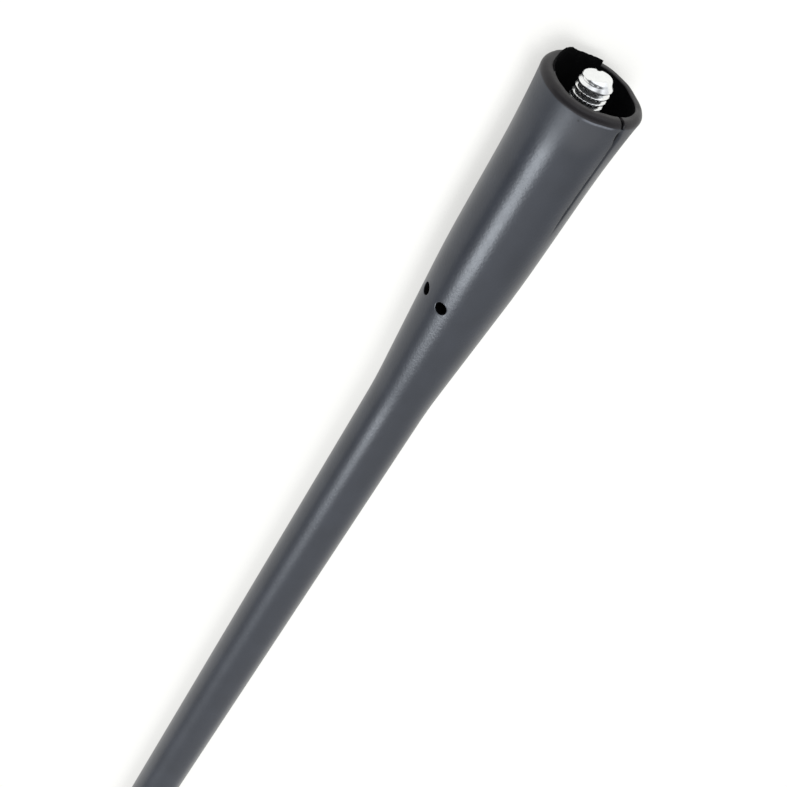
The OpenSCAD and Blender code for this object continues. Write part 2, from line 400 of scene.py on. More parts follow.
def with_hole_rows(rows):
    """Rows with those near the locating-pin holes replaced by the holes' own."""
    heights = hole_heights()
    lo, hi = heights[0] - HOLE_BLOCK_CLEAR, heights[-1] + HOLE_BLOCK_CLEAR
    r_at = {}
    ordered = sorted(rows, key=lambda p: p[1])
    for z in heights:
        for a, b in zip(ordered, ordered[1:]):
            if a[1] <= z <= b[1] and b[1] > a[1]:
                r_at[z] = a[0] + (b[0] - a[0]) * (z - a[1]) / (b[1] - a[1])
    new = [(r_at[z], z) for z in heights]
    kept = [p for p in rows if not lo < p[1] < hi]
    rising = rows[-1][1] > rows[0][1]
    at = next(i for i, p in enumerate(kept) if (p[1] > HOLE_Z) == rising)
    return kept[:at] + (new if rising else new[::-1]) + kept[at:]


def inner_rows():
    """The rubber's inside, from the rod's end down to the flange."""
    gap = MOULD_FIT
    up = barrel_path(gap) + [
        (COLLAR_R + gap, SLEEVE_BOTTOM - gap),
        (SLEEVE_OUT_R + gap, SLEEVE_BOTTOM - gap),
        (SLEEVE_OUT_R + gap, MAST_L - TIP_CAP + gap),
    ]
    down = divided(up, lambda z: INNER_PITCH)[::-1]
    high = [p for p in down if p[1] > BARREL_TOP + gap]
    plain = [(BARREL_R + gap, BARREL_TOP + gap), (BARREL_R + gap, BARREL_PLAIN_FROM)]
    low = [p for p in down if p[1] < BARREL_PLAIN_FROM]
    return high + with_hole_rows(plain) + low


def jacket_rows():
    """From the rod's end down the inside and the cavity, over the lip and up to the tip."""
    mouth = (MOUTH_R, MOUTH_ROUND + MOUTH_CLEAR)
    wall = divided([(CAVITY_FLOOR_R, CAVITY_H), mouth], lambda z: CAVITY_PITCH)
    start, end = MOUTH_R + MOUTH_ROUND, RIM_R - LIP_ROUND
    flat = [(start + (end - start) * k / LIP_FLAT_STEPS, 0.0) for k in range(1, LIP_FLAT_STEPS)]
    arc = bend((start, 0.0), (RIM_R, 0.0), (RIM_R, LIP_BAND), LIP_ROUND, LIP_STEPS)
    rows = [Row(0.0, MAST_L - TIP_CAP + MOULD_FIT, "pole")]
    rows += [Row(r, z, "inner") for r, z in inner_rows()]
    rows += [Row((FLANGE_R + CAVITY_FLOOR_R) / 2, CAVITY_H, "cavity")]
    rows += [Row(r, z, "cavity") for r, z in wall]
    rows += [Row(MOUTH_R, MOUTH_ROUND, "mouth", k) for k in range(FLASH_STEPS + 1)]
    rows += [Row(r, z, "lip") for r, z in flat + arc]
    rows += [Row(RIM_R, LIP_BAND, "band")]
    rows += [Row(r, z, "outer") for r, z in with_hole_rows(OUTSIDE[:-1])]
    return rows + [Row(0.0, MAST_L, "pole")]


def jacket_columns():
    """Directions of the moulding's columns, close together at the seams and the flash's end."""
    out = []
    for lo, hi, step in COLUMN_RUNS:
        n = max(1, round((hi - lo) / step))
        out += [lo + (hi - lo) * i / n for i in range(n)]
    return out


# What the mould and wear did to the rubber

def seam_wander(z):
    """How far a parting line strays toward -Y at height z, in degrees."""
    z = max(0.0, z)
    return SEAM_WANDER_DEG * math.exp(-z / SEAM_WANDER_H) + SEAM_LEAN_DEG * min(z, SEAM_TOP)


def wandered(deg, z, kind):
    """Where a column runs at height z, as those near a parting line stray with it."""
    if kind in ("pole", "inner"):
        return deg
    for seam, side, _ in SEAMS:
        share = 1 - ease((abs(deg - seam) - SEAM_WINDOW_FROM) / SEAM_WINDOW_DEG)
        deg += side * share * seam_wander(z)
    return deg


def seam_fade(z):
    return ease((SEAM_TOP - z) / SEAM_FADE)


def seam_depth(deg, r, z):
    """Depth of the parting line's groove and gouge at one place, with the halves' mismatch."""
    out = 0.0
    for seam, side, strength in SEAMS:
        s = side * math.radians(deg - seam) * r
        if abs(s) > SEAM_REACH:
            continue
        line = SEAM_T * uneven(z, SEAM_NOISE, seam)
        out += strength * line * bump(s, SEAM_W) * seam_fade(z)
        step = ease((s + SEAM_STEP) / (2 * SEAM_STEP)) * bump(s, SEAM_STEP_W)
        out += strength * SEAM_MISMATCH * step * seam_fade(z)
        if seam == NOTCH_SEAM:
            out += GOUGE_T * bump(s - GOUGE_OFF, GOUGE_W) * bump(z - GOUGE_Z, GOUGE_H)
    return out


def notch_depth(deg, r):
    return NOTCH_T * max(0.0, 1 - abs(math.radians(deg - NOTCH_SEAM) * r) / NOTCH_W)


def darkness_on_line(s, z, seam):
    """Darkening at a distance s beside a parting line, and in its gouge."""
    patchy = uneven(z, SEAM_DARK_NOISE, seam)
    rise = ease((z - SEAM_DARK_Z) / SEAM_DARK_RISE)
    line = SEAM_DARK_LINE * bump(s + SEAM_DARK_OFF, SEAM_DARK_W) * seam_fade(z) * rise * patchy
    if seam != NOTCH_SEAM:
        return line
    across = bump(s - GOUGE_DARK_OFF, GOUGE_W * GOUGE_DARK_WIDER)
    return max(line, across * bump(z - GOUGE_Z, GOUGE_H * GOUGE_DARK_HIGHER))


def seam_darkness(row, deg):
    """How dark the rubber is made in the parting line, its notch and its gouge."""
    out = 0.0
    if row.kind in ("pole", "inner", "cavity"):
        return out
    for seam, side, strength in SEAMS:
        s = side * math.radians(deg - seam) * row.r
        if row.kind == "outer":
            out = max(out, strength * darkness_on_line(s, row.z, seam))
        elif seam == NOTCH_SEAM:
            out = bump(s, NOTCH_W * NOTCH_DARK_W)
    return min(1.0, out)


def painted_crease_highlight(row, deg):
    """Painted highlight along the lip band's edge beside the parting line, where the crease
    catches the light.
    """
    if row.kind not in ("band", "outer") or row.z > LIP_BAND:
        return 0.0
    return window(deg, *CREASE_HIGHLIGHT_WINDOW) * uneven(deg, CREASE_HIGHLIGHT_NOISE)


def crease(deg):
    """Share of the lip band's step that stands in one direction, full beside the seam only."""
    return CREASE_REST + (1 - CREASE_REST) * window(deg, *CREASE_WINDOW)


def rim_wave(deg):
    """How far the soft rim has strayed from flat, toward the mast's tip."""
    return along(RIM_WAVE, rho_of(deg), ease)


def flash_height(deg):
    """Height of the flash above the mouth's edge, 0 where there is none."""
    deg = (deg + 180) % 360 - 180
    h = along(FLASH_HEIGHTS, deg)
    if h is None:
        return 0.0
    off = sum(uneven(deg, form) for form in FLASH_NOISES)
    return h + off * min(1.0, h / FLASH_NOISE_FULL)


def mouth_edge(step, deg):
    """One point across the mouth's edge: its rounding, or the flash where that stands."""
    h = flash_height(deg)
    if h <= 0:
        turn = step / FLASH_STEPS * math.pi / 2
        return (MOUTH_R + MOUTH_ROUND * (1 - math.cos(turn)), MOUTH_ROUND * (1 - math.sin(turn)))
    out, lean_share, height_share = FLASH_SECTION[step]
    out += uneven(deg, FLASH_LEAN_NOISE) * lean_share
    return (MOUTH_R + out, -height_share * h if step else MOUTH_ROUND)


def worked(r, z, row, deg):
    """Radius and height of one place of the rubber, with its seam, notch and waves."""
    kind = row.kind
    if kind == "mouth":
        z += notch_depth(deg, r) * NOTCH_MOUTH * row.step / FLASH_STEPS
    elif kind == "outer":
        r += LIP_STEP * (1 - crease(deg)) * math.exp(-(z - LIP_BAND) / LIP_STEP_FADE)
        r -= seam_depth(deg, r, z)
    elif kind in ("lip", "band"):
        lean = (r - MOUTH_R) / (RIM_R - MOUTH_R)
        d = notch_depth(deg, r)
        on_top = r < RIM_R - LIP_ROUND * NOTCH_EDGE
        z += d * (1 - NOTCH_LEAN * lean) if on_top else d * NOTCH_SIDE
        r -= d * lean + seam_depth(deg, r, z) * lean
    elif kind == "cavity" and z < CAVITY_H:
        a = math.radians(deg)
        x, y = math.cos(a) * CAVITY_WAVE_TURN, math.sin(a) * CAVITY_WAVE_TURN
        r += CAVITY_WAVE * noise.noise(Vector((x, y, z * CAVITY_WAVE_Z)))
    return r, z


def jacket_point(row, deg):
    r, z = mouth_edge(row.step, deg) if row.kind == "mouth" else (row.r, row.z)
    a = math.radians(wandered(deg, z, row.kind))
    r, z = worked(r, z, row, deg)
    place = Vector((r * math.cos(a), r * math.sin(a), z))
    if row.kind in ("cavity", "lip", "mouth"):
        off = math.radians(MOUTH_SHIFT_DEG)
        share = ease((RIM_R - r) / (RIM_R - MOUTH_R)) * ease((CAVITY_H - z) / MOUTH_SHIFT_H)
        place += Vector((math.cos(off), math.sin(off), 0)) * MOUTH_SHIFT * share
    if row.kind not in ("pole", "inner"):
        place.z += rim_wave(deg) * (1 - ease(z / RIM_WAVE_H))
    return place


# Meshes

class Skin:
    """Growing mesh of the moulding: places, faces with their rubber, and each place's seam
    darkening and painted highlight.
    """

    def __init__(self):
        self.verts, self.faces, self.kinds, self.dirt, self.highlight_share = [], [], [], [], []

    def add(self, places, dirt=None, highlight_share=None):
        start = len(self.verts)
        self.verts += places
        self.dirt += dirt or [0.0] * len(places)
        self.highlight_share += highlight_share or [0.0] * len(places)
        return list(range(start, len(self.verts)))

    def face(self, corners, kind):
        self.faces.append(list(dict.fromkeys(corners)))
        self.kinds.append(kind)

    def bridge(self, a, b, kind):
        """Joins two closed rings of as many places."""
        for i in range(len(a)):
            j = (i + 1) % len(a)
            self.face([a[i], a[j], b[j], b[i]], kind)


def finished_mesh(name, verts, faces, sharp_deg, kinds=(), shades=()):
    mesh = bpy.data.meshes.new(name)
    mesh.from_pydata([v * MM for v in verts], [], faces)
    for poly, kind in zip(mesh.polygons, kinds):
        poly.material_index = kind
    work = bmesh.new()
    work.from_mesh(mesh)
    bmesh.ops.recalc_face_normals(work, faces=work.faces)
    work.to_mesh(mesh)
    work.free()
    for shade, values in shades:
        mesh.attributes.new(shade, "FLOAT", "POINT").data.foreach_set("value", values)
    for poly in mesh.polygons:
        poly.use_smooth = True
    mesh.set_sharp_from_angle(angle=math.radians(sharp_deg))
    obj = bpy.data.objects.new(name, mesh)
    bpy.context.scene.collection.objects.link(obj)
    return obj


def placed(obj, node, slot, *materials):
    for m in materials:
        obj.data.materials.append(m)
    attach(obj, "root")
    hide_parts(node)
    return obj


# The moulding

def row_places(skin, row, columns):
    if row.kind == "pole":
        return skin.add([Vector((0, 0, row.z))]) * len(columns)
    return skin.add(
        [jacket_point(row, deg) for deg in columns],
        [seam_darkness(row, deg) for deg in columns],
        [painted_crease_highlight(row, deg) for deg in columns],
    )


def face_kind(row, deg):
    """Rubber of the faces that end at a row: 0 the outside's, 1 the cavity's, near black as
    painted shade inside the foot and on the flash, 2 the lip's.
    """
    if row.kind in ("inner", "cavity"):
        return 1
    if row.kind == "mouth":
        return 1 if flash_height(deg) > 0 or row.step < 2 else 2
    return 2 if row.kind == "lip" else 0


def rows_at_holes(rows, kind):
    reach = HOLE_BLOCK_H + NEAR
    return [k for k, row in enumerate(rows) if row.kind == kind and abs(row.z - HOLE_Z) <= reach]


def columns_at_hole(columns, centre):
    return [c for c, deg in enumerate(columns) if abs(deg - centre) <= HOLE_BLOCK_DEG]


def block_cells(rs, cols):
    """Cells of the grid that a hole's block leaves out."""
    return {(k, c) for k in range(min(rs), min(rs) + HOLE_ROWS) for c in cols[:-1]}


def block_edge(index, rs, cols):
    """The places round a hole's block, in order."""
    cells = [(rs[0], c) for c in cols] + [(k, cols[-1]) for k in rs[1:]]
    cells += [(rs[-1], c) for c in cols[-2::-1]] + [(k, cols[0]) for k in rs[-2:0:-1]]
    return [index[k][c] for k, c in cells]


def cover(skin, rows, columns, index, skipped):
    """Faces between each row and the next, but for the skipped cells."""
    for k, row in enumerate(rows[1:]):
        for c, deg in enumerate(columns):
            if (k, c) not in skipped:
                d = (c + 1) % len(columns)
                corners = [index[k][c], index[k][d], index[k + 1][d], index[k + 1][c]]
                skin.face(corners, face_kind(row, deg))


def from_axis(v, centre):
    """How far a place lies across and along from a hole's axis."""
    c = math.radians(centre)
    return (-v.x * math.sin(c) + v.y * math.cos(c), v.z - HOLE_Z)


def on_round(radius_of, centre, y, z, inset=0.0):
    """Place on a round surface, or inset from it, y across and z along from a hole's axis."""
    c = math.radians(centre)
    z += HOLE_Z
    x = math.sqrt(radius_of(z) ** 2 - y * y) - inset
    return Vector((x * math.cos(c) - y * math.sin(c), x * math.sin(c) + y * math.cos(c), z))


def pin_hole(skin, centre, outer_loop, inner_loop):
    """Fills one hole's block: the outside up to the hole's edge, then its wall to the metal."""
    starts = [from_axis(skin.verts[i], centre) for i in outer_loop]
    dirs = [(y / math.hypot(y, z), z / math.hypot(y, z)) for y, z in starts]

    def ring_at(radius, inset=0.0, radius_of=outside_radius):
        return [on_round(radius_of, centre, y * radius, z * radius, inset) for y, z in dirs]

    edge = ring_at(HOLE_R + HOLE_EDGE)
    ends = [from_axis(place, centre) for place in edge]
    rings = []
    for share in HOLE_SHARES:
        flat = [(y + (v - y) * share, z + (w - z) * share) for (y, z), (v, w) in zip(starts, ends)]
        rings.append(([on_round(outside_radius, centre, y, z) for y, z in flat], 0))
    rings.append((edge, 0))
    rings += [(ring_at(radius, inset), kind) for radius, inset, kind in HOLE_WALL]
    rings.append((ring_at(HOLE_R, radius_of=lambda z: BARREL_R + MOULD_FIT), 1))
    last = outer_loop
    for places, kind in rings:
        new = skin.add(places)
        skin.bridge(last, new, kind)
        last = new
    skin.bridge(last, inner_loop, 1)


def jacket_piece(rubber, cavity_painted_shade, lip_rubber):
    rows, columns = jacket_rows(), jacket_columns()
    skin = Skin()
    index = [row_places(skin, row, columns) for row in rows]
    outer, inner = rows_at_holes(rows, "outer"), rows_at_holes(rows, "inner")[::-1]
    blocks = [(centre, columns_at_hole(columns, centre)) for centre in HOLE_DEGS]
    skipped = set()
    for _, cols in blocks:
        skipped |= block_cells(outer, cols) | block_cells(inner, cols)
    cover(skin, rows, columns, index, skipped)
    for centre, cols in blocks:
        pin_hole(skin, centre, block_edge(index, outer, cols), block_edge(index, inner, cols))
    shades = (("seam_darkness", skin.dirt), ("painted_highlight", skin.highlight_share))
    obj = finished_mesh(
        "jacket_moulding", skin.verts, skin.faces, RUBBER_SHARP_DEG, skin.kinds, shades
    )
    return placed(obj, "jacket", "rubber", rubber, cavity_painted_shade, lip_rubber)


# The turned foot piece

def thread_drop(deg, z):
    """Depth below the thread's crest. The groove fades out before the end's chamfer."""
    part = (deg - THREAD_ZERO_DEG) % 360 / 360
    turn = round((z - THREAD_ZERO_Z) / THREAD_PITCH - part)
    centre = THREAD_ZERO_Z + THREAD_PITCH * (part + turn)
    size = ease((centre - THREAD_FADES[0]) / (THREAD_FADES[1] - THREAD_FADES[0]))
    apart = abs(z - centre) / THREAD_PITCH
    flank = 1 - (apart - THREAD_ROOT) / (0.5 - THREAD_ROOT - THREAD_CREST)
    return THREAD_T * size * min(1.0, max(0.0, flank))


def end_radius(deg):
    """Radius of the end's neck, whose middle lies a little to one side."""
    off = math.radians(deg - END_SHIFT_DEG)
    return END_SHIFT * math.cos(off) + math.sqrt(END_R ** 2 - (END_SHIFT * math.sin(off)) ** 2)


def runout_drop(deg, z):
    """Depth of the tool's run-out groove behind the end face, along one side only."""
    start, end = RUNOUT_DEGS
    off = (deg + 180) % 360 - 180
    share = window(off, start, RUNOUT_FADE, end - RUNOUT_FADE, RUNOUT_FADE)
    return RUNOUT_T * share * max(0.0, 1 - abs(z - RUNOUT_Z) / RUNOUT_W)


def fuller(deg):
    """1 on the side where the stud's end is rounded off more, 0 on the other."""
    return window(rho_of(deg), *END_FULLER_WINDOW)


def end_edge(deg):
    return END_EDGE + END_EDGE_MORE * fuller(deg)


def end_surface(deg, z):
    """Radius along the stud's end: edge of the face, neck, then the chamfer out to the thread."""
    neck = end_radius(deg)
    edge = end_edge(deg) - STUD_REACH
    height = CHAMFER_H + CHAMFER_MORE * fuller(deg)
    foot = CHAMFER_Z - height
    if z < edge:
        return neck + z - edge
    if z < foot:
        radius = neck + (CHAMFER_R - neck) * (z - edge) / (foot - edge)
    else:
        radius = CHAMFER_R + (STUD_R - CHAMFER_R) * (z - foot) / height
    return radius - runout_drop(deg, z)


def stud_radius(deg, z):
    """Radius of the threaded length, with its end and the cone down to the relief."""
    cone = CAVITY_H - RELIEF_H - (STUD_R - RELIEF_R)
    r = min(STUD_R - thread_drop(deg, z), end_surface(deg, z))
    return min(r, STUD_R - (z - cone)) if z > cone else r


def nick(deg, r, z):
    """Depth of the small cut in the edge of the stud's end face."""
    s = math.radians(deg - NICK_DEG) * r
    depth = NICK_T * bump(s, NICK_W) * ease((r - NICK_R) / NICK_RISE)
    return depth * ease((NICK_H - STUD_REACH - z) / NICK_H)


def stud_rows():
    """The turned piece's rows. A face row has a share of the face's radius for its radius."""
    thread_l = CAVITY_H - RELIEF_H + STUD_REACH
    steps = round(thread_l / THREAD_STEP)
    rows = [Row(share, -STUD_REACH, "face") for share in FACE_RINGS]
    rows += [Row(STUD_R, -STUD_REACH + thread_l * k / steps, "thread") for k in range(steps + 1)]
    plain = [(RELIEF_R, CAVITY_H)] + barrel_path(0)
    plain += [(COLLAR_R, COLLAR_TOP), (SOCKET_R, COLLAR_TOP), (SOCKET_R, COLLAR_TOP - SOCKET_H)]
    return rows + [Row(r, z, "plain") for r, z in plain]


def stud_point(row, deg):
    r, z, cut = row.r, row.z, 0.0
    if row.kind == "face":
        r *= end_radius(deg) - end_edge(deg)
    elif row.kind == "thread":
        r = stud_radius(deg, z)
    if row.kind != "plain":
        cut = nick(deg, r, z)
    side = r * math.cos(math.radians(deg - END_SHIFT_DEG))
    share = ease((END_TILT_FROM - z) / (END_TILT_FROM + STUD_REACH))
    tilt = (END_TILT * side - END_PROUD) * share
    a = math.radians(deg)
    r -= cut * NICK_IN
    return Vector((r * math.cos(a), r * math.sin(a), z + cut + tilt))


def stud_piece(metal):
    n = THREAD_COLUMNS
    verts = [Vector((0, 0, -STUD_REACH))]
    index = [[0] * n]
    for row in stud_rows():
        index.append(list(range(len(verts), len(verts) + n)))
        verts += [stud_point(row, 360 * c / n) for c in range(n)]
    verts.append(Vector((0, 0, COLLAR_TOP - SOCKET_H - SOCKET_R / 2)))
    index.append([len(verts) - 1] * n)
    faces = []
    for a, b in zip(index, index[1:]):
        for c in range(n):
            d = (c + 1) % n
            faces.append(list(dict.fromkeys([a[c], a[d], b[d], b[c]])))
    obj = finished_mesh("stud_turning", verts, faces, METAL_SHARP_DEG)
    return placed(obj, "base_stud", "plated_metal", metal)


# Materials

class Graph:
    """Node tree of a material or of the world, with short ways to add to it."""

    def __init__(self, tree):
        self.nodes, self.links = tree.nodes, tree.links

    def add(self, kind, **inputs):
        out = self.nodes.new("ShaderNode" + kind)
        for key, value in inputs.items():
            out.inputs[key.replace("_", " ")].default_value = value
        return out

    def put(self, socket, value):
        """Gives an input a number, a colour or another node's output."""
        if isinstance(value, bpy.types.NodeSocket):
            self.links.new(value, socket)
        else:
            socket.default_value = (*value, 1) if isinstance(value, tuple) else value

    def place(self):
        return self.add("TexCoord").outputs["Object"]

    def height(self):
        split = self.add("SeparateXYZ")
        self.put(split.inputs["Vector"], self.place())
        return split.outputs["Z"]

    def ramp(self, source, stops):
        out = self.add("ValToRGB")
        points = out.color_ramp.elements
        points[0].position, points[0].color = stops[0][0], (*stops[0][1], 1)
        points[1].position, points[1].color = stops[-1][0], (*stops[-1][1], 1)
        for at, colour in stops[1:-1]:
            points.new(at).color = (*colour, 1)
        self.put(out.inputs["Fac"], source)
        return out.outputs["Color"]

    def mottled(self, scale, detail=3.0):
        tex = self.add("TexNoise", Scale=scale, Detail=detail, Roughness=0.5)
        self.put(tex.inputs["Vector"], self.place())
        return tex.outputs["Fac"]

    def mottled_colour(self, scale, edges, dark, light):
        return self.ramp(self.mottled(scale), tuple(zip(edges, (dark, light))))

    def ranged(self, source, to, start=(0.0, 1.0), kind="LINEAR"):
        out = self.add("MapRange")
        out.interpolation_type = kind
        for key, value in zip(("From Min", "From Max", "To Min", "To Max"), (*start, *to)):
            out.inputs[key].default_value = value
        self.put(out.inputs["Value"], source)
        return out.outputs["Result"]

    def combined(self, operation, a, b):
        out = self.add("Math")
        out.operation = operation
        self.put(out.inputs[0], a)
        self.put(out.inputs[1], b)
        return out.outputs["Value"]

    def product(self, first, *others):
        for other in others:
            first = self.combined("MULTIPLY", first, other)
        return first

    def mixed(self, share, first, second):
        """Number that goes from first to second with share."""
        mix = self.add("Mix")
        for at, value in ((0, share), (2, first), (3, second)):
            self.put(mix.inputs[at], value)
        return mix.outputs[0]

    def blended(self, share, first, second):
        """Colour that goes from first to second with share."""
        mix = self.add("Mix")
        mix.data_type = "RGBA"
        for at, value in ((0, share), (6, first), (7, second)):
            self.put(mix.inputs[at], value)
        return mix.outputs[2]

    def shader(self, share, first, second):
        mix = self.add("MixShader")
        for at, value in enumerate((share, first, second)):
            self.put(mix.inputs[at], value)
        return mix.outputs[0]

    def bumped(self, source, distance):
        out = self.add("Bump", Distance=distance, Strength=1.0)
        self.put(out.inputs["Height"], source)
        return out.outputs["Normal"]

    def attribute(self, name):
        out = self.add("Attribute")
        out.attribute_name = name
        return out.outputs["Fac"]

    def away_from(self, deg, z, near, far):
        """0 within a distance of one place on the foot's outside, 1 beyond another; in mm."""
        r, a = outside_radius(max(z, LIP_BAND)), math.radians(deg)
        apart = self.add("VectorMath")
        apart.operation = "DISTANCE"
        apart.inputs[1].default_value = (r * math.cos(a) * MM, r * math.sin(a) * MM, z * MM)
        self.put(apart.inputs[0], self.place())
        reach = (near * MM, far * MM)
        return self.ranged(apart.outputs["Value"], (0.0, 1.0), reach, "SMOOTHSTEP")

    def toward(self, direction, ranges, kind="SMOOTHSTEP"):
        """A level by how nearly a ray runs toward a direction."""
        dot = self.add("VectorMath")
        dot.operation = "DOT_PRODUCT"
        dot.inputs[1].default_value = direction
        self.put(dot.inputs[0], self.add("TexCoord").outputs["Generated"])
        return self.ranged(dot.outputs["Value"], ranges[2:], ranges[:2], kind)


def material(name, **values):
    m = bpy.data.materials.new(name)
    m.use_nodes = True
    bsdf = m.node_tree.nodes["Principled BSDF"]
    for key, value in values.items():
        bsdf.inputs[key.replace("_", " ")].default_value = value
    return m, Graph(m.node_tree), bsdf.inputs


def with_painted_highlight_and_seam_dark(g, inputs, colour, gloss):
    """Lays the painted highlight along the crease and the seam darkening over the colour. The
    darkening takes its gloss away.
    """
    # Painted highlight along the crease under the lip band
    colour = g.blended(g.attribute("painted_highlight"), colour, CREASE_HIGHLIGHT_COLOUR)
    dirt = g.attribute("seam_darkness")
    g.put(inputs["Base Color"], g.blended(dirt, colour, SEAM_DARK_COLOUR))
    g.put(inputs["Specular IOR Level"], g.ranged(dirt, (gloss, 0.0)))


def grained(g, inputs):
    grain = g.mottled(RUBBER_GRAIN, RUBBER_GRAIN_DETAIL)
    g.put(inputs["Normal"], g.bumped(grain, RUBBER_GRAIN_T))


def lip_material():
    m, g, inputs = material("lip_rubber")
    colour = g.mottled_colour(LIP_SCALE, SOFT_EDGES, LIP_DARK, LIP_LIGHT)
    with_painted_highlight_and_seam_dark(g, inputs, colour, LIP_GLOSS)
    g.put(inputs["Roughness"], g.ranged(g.mottled(ROUGH_SCALE), LIP_ROUGH))
    grained(g, inputs)
    return m


def rubber_material():
    m, g, inputs = material("moulded_rubber")
    colour = g.mottled_colour(RUBBER_SCALE, SOFT_EDGES, RUBBER_DARK, RUBBER_LIGHT)
    # Painted sheen spot just above the lip
    colour = g.blended(g.away_from(*SHEEN_SPOT_PLACE), SHEEN_SPOT_COLOUR, colour)
    for deg, z, size in SPECKS:
        colour = g.blended(g.away_from(deg, z, size * 0.5, size), SPECK_COLOUR, colour)
    with_painted_highlight_and_seam_dark(g, inputs, colour, RUBBER_GLOSS)
    reach = (ROUGH_FROM * MM, ROUGH_TO * MM)
    rim = g.ranged(g.height(), (RIM_ROUGHER, 0.0), reach, "SMOOTHSTEP")
    rough = g.ranged(g.mottled(ROUGH_SCALE), RUBBER_ROUGH)
    g.put(inputs["Roughness"], g.combined("ADD", rim, rough))
    grained(g, inputs)
    return m


def mottled_material(name, look, **values):
    """Material whose colour is mottled by look, which is (scale, edges, dark, light)."""
    m, g, inputs = material(name, **values)
    g.put(inputs["Base Color"], g.mottled_colour(*look))
    return m


def cavity_shade_material():
    # Near-black colours: painted shade for the cavity and the flash
    look = (CAVITY_SCALE, SOFT_EDGES, CAVITY_SHADE_DARK, CAVITY_SHADE_LIGHT)
    return mottled_material(
        "cavity_painted_shade", look, Roughness=CAVITY_ROUGH, Specular_IOR_Level=CAVITY_GLOSS
    )


def metal_material():
    m, g, inputs = material("bright_plating", Metallic=PLATING_METALLIC)
    colour = g.mottled_colour(PLATING_SCALE, METAL_EDGES, PLATING_DARK, PLATING_LIGHT)
    g.put(inputs["Base Color"], colour)
    g.put(inputs["Roughness"], g.ranged(g.mottled(PLATING_ROUGH_SCALE), PLATING_ROUGH))
    return m


def fibre_material():
    m, g, inputs = material("glass_fibre", Roughness=FIBRE_ROUGH)
    tex = g.add("TexNoise", Scale=FIBRE_SCALE, Detail=3.0)
    stretch = g.add("Mapping", Scale=FIBRE_STRETCH)
    g.put(stretch.inputs["Vector"], g.place())
    g.put(tex.inputs["Vector"], stretch.outputs["Vector"])
    stops = tuple(zip(METAL_EDGES, (FIBRE_DARK, FIBRE_LIGHT)))
    g.put(inputs["Base Color"], g.ramp(tex.outputs["Fac"], stops))
    return m


def copper_material():
    look = (COPPER_SCALE, METAL_EDGES, COPPER_DARK, COPPER_LIGHT)
    return mottled_material("enamelled_copper", look, Metallic=1.0, Roughness=COPPER_ROUGH)


def solder_material():
    look = (SOLDER_SCALE, METAL_EDGES, SOLDER_DARK, SOLDER_LIGHT)
    return mottled_material("soft_solder", look, Metallic=1.0, Roughness=SOLDER_ROUGH)


def sleeve_material():
    look = (SLEEVE_SCALE, SOFT_EDGES, SLEEVE_DARK, SLEEVE_LIGHT)
    return mottled_material("shrunk_sleeve", look, Roughness=SLEEVE_ROUGH)


def dress(node_name, mat):
    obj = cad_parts[node_name]
    obj.data.materials.clear()
    obj.data.materials.append(mat)


# Camera, light and sheet

def camera_matrix():
    """The photo's camera in the part's frame, from where its picture has the rim and the mast."""
    middle = PHOTO / 2
    to_rim = Vector((RIM_PX[0] - middle, RIM_PX[1] - middle, FOCAL_PX)).normalized()
    t = math.radians(MAST_TURN_DEG)
    dx, dy = MAST_DIR_PX
    dx, dy = dx * math.cos(t) - dy * math.sin(t), dx * math.sin(t) + dy * math.cos(t)
    x, y = RIM_PX[0] + dx * MAST_FAR_PX, RIM_PX[1] + dy * MAST_FAR_PX
    to_mast = Vector((x - middle, y - middle, FOCAL_PX)).normalized()
    across = (to_mast - to_rim * to_mast.dot(to_rim)).normalized()
    a = math.radians(VIEW_DEG)
    mast = to_rim * math.cos(a) + across * math.sin(a)
    rim = to_rim * (RIM_DEPTH / to_rim.z)
    facing = -(rim - mast * mast.dot(rim)).normalized()
    left = mast.cross(facing)
    f = math.radians(FACING_DEG)
    part_x = facing * math.cos(f) - left * math.sin(f)
    part_y = facing * math.sin(f) + left * math.cos(f)
    to_part = Matrix((part_x, part_y, mast))
    place = to_part @ -rim * MM
    flip = Matrix(((1, 0, 0), (0, -1, 0), (0, 0, -1)))
    return Matrix.Translation(place) @ (to_part @ flip).to_4x4()


def add_camera():
    data = bpy.data.cameras.new("photo_camera")
    data.sensor_width = SENSOR
    data.sensor_fit = "HORIZONTAL"
    data.lens = FOCAL_PX / PHOTO * SENSOR
    data.clip_start, data.clip_end = CLIP
    cam = bpy.data.objects.new("photo_camera", data)
    bpy.context.scene.collection.objects.link(cam)
    cam.matrix_world = camera_matrix()
    bpy.context.scene.camera = cam


def round_about(rho_deg, rise_deg):
    """Direction right of the one that faces the camera, raised toward the mast's tip."""
    a = math.radians(FACING_DEG - rho_deg)
    e = math.radians(rise_deg)
    return Vector((math.cos(a) * math.cos(e), math.sin(a) * math.cos(e), math.sin(e)))


def add_window():
    """One wide soft lamp, like a window behind the photographer."""
    data = bpy.data.lights.new("window", "AREA")
    data.shape = "RECTANGLE"
    data.size, data.size_y = WINDOW_WIDE * MM, WINDOW_TALL * MM
    data.energy = WINDOW_WATTS
    data.color = WINDOW_COLOUR
    obj = bpy.data.objects.new("window", data)
    bpy.context.scene.collection.objects.link(obj)
    z = round_about(WINDOW_RHO, WINDOW_RISE)
    y = (Vector((0, 0, 1)) - z * z.z).normalized()
    place = Vector((0, 0, WINDOW_AIM_Z * MM)) + z * WINDOW_FAR * MM
    turn = Matrix((y.cross(z), y, z)).transposed()
    obj.matrix_world = Matrix.Translation(place) @ turn.to_4x4()


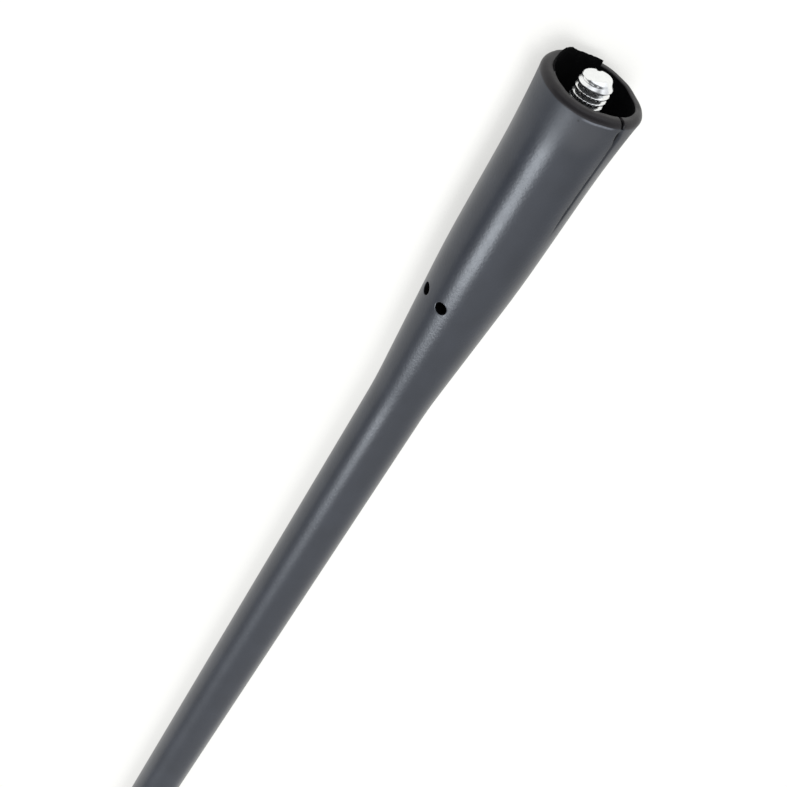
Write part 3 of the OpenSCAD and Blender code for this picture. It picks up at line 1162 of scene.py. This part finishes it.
def add_world():
    """White to the camera. Reflections see a room, lighter on the right, dark at the camera."""
    world = bpy.data.worlds.new("white_room")
    bpy.context.scene.world = world
    world.use_nodes = True
    g = Graph(world.node_tree)
    across = g.toward(round_about(90.0, 0.0), ROOM_ACROSS, "LINEAR")
    sides = g.ramp(across, [(at, (level,) * 3) for at, level in ROOM_SIDES])
    dark = g.product(
        g.toward(round_about(DARK_RHO, 0.0), DARK_TURN),
        g.toward((0, 0, -1), DARK_NEAR),
        g.toward((0, 0, -1), DARK_FAR),
    )
    room = g.product(sides, g.ranged(dark, (1.0, ROOM_DARK)), g.toward((0, 0, 1), ROOM_RISE))
    rays = g.add("LightPath").outputs
    mirrored = g.mixed(rays["Is Glossy Ray"], ROOM_LIGHT, room)
    back = g.nodes["Background"].inputs
    g.put(back["Strength"], g.mixed(rays["Is Camera Ray"], mirrored, 1.0))
    g.put(back["Color"], g.blended(rays["Is Camera Ray"], ROOM_TINT, (1.0, 1.0, 1.0)))


def sheet_material():
    """White but for the shade near the object, to the camera and in reflections; clear behind."""
    m, g, _ = material("white_sheet")
    g.nodes.remove(g.nodes["Principled BSDF"])
    near = g.add("AmbientOcclusion", Distance=SHADE_REACH * MM)
    near.samples = SHADE_SAMPLES
    shade = g.ranged(near.outputs["AO"], (SHADE_DEEP, SHADE_BARE), (SHADE_FROM, SHADE_TO))
    reach = (SHADE_THINS[0] * MM, SHADE_THINS[1] * MM)
    level = g.mixed(g.ranged(g.height(), (1.0, SHADE_THIN), reach), SHADE_BARE, shade)
    rays = g.add("LightPath").outputs
    mirrored = g.ranged(rays["Is Glossy Ray"], (1.0, SHEET_MIRRORED))
    glow = g.add("Emission", Color=(*SHADE_TINT, 1))
    g.put(glow.inputs["Strength"], g.product(level, mirrored))
    diffuse = g.add("BsdfDiffuse", Color=(SHEET_WHITE,) * 3 + (1,))
    seen = g.combined("MAXIMUM", rays["Is Camera Ray"], rays["Is Glossy Ray"])
    front = g.shader(seen, diffuse.outputs[0], glow.outputs[0])
    behind = g.add("NewGeometry").outputs["Backfacing"]
    surface = g.shader(behind, front, g.add("BsdfTransparent").outputs[0])
    g.put(g.nodes["Material Output"].inputs["Surface"], surface)
    return m


def add_sheet():
    """White sheet that the mast lies on, along its whole back."""
    up = round_about(SHEET_RHO, 0.0)
    across = up.cross(Vector((0, 0, 1)))
    half = SHEET_SIZE / 2
    line = [(-half / MM, RIM_R), (0.0, RIM_R)]
    line += [(z, r) for r, z in OUTSIDE if z < MAST_L - TIP_ROUND]
    line += [(half / MM, TIP_R)]
    verts = []
    for z, r in line:
        middle = (Vector((0, 0, z)) - up * (r + SHEET_GAP)) * MM
        verts += [middle + across * side * half for side in (-1, 1)]
    faces = [(2 * i, 2 * i + 1, 2 * i + 3, 2 * i + 2) for i in range(len(line) - 1)]
    mesh = bpy.data.meshes.new("white_sheet")
    mesh.from_pydata(verts, [], faces)
    if mesh.polygons[0].normal.dot(up) < 0:
        mesh.flip_normals()
    for poly in mesh.polygons:
        poly.use_smooth = True
    obj = bpy.data.objects.new("white_sheet", mesh)
    bpy.context.scene.collection.objects.link(obj)
    mesh.materials.append(sheet_material())


jacket_piece(rubber_material(), cavity_shade_material(), lip_material())
stud_piece(metal_material())
dress("core_rod", fibre_material())
dress("wire_winding", copper_material())
dress("solder_joint", solder_material())
dress("shrink_sleeve", sleeve_material())
add_camera()
add_world()
add_sheet()
add_window()
bpy.context.scene.view_settings.view_transform = "Standard"
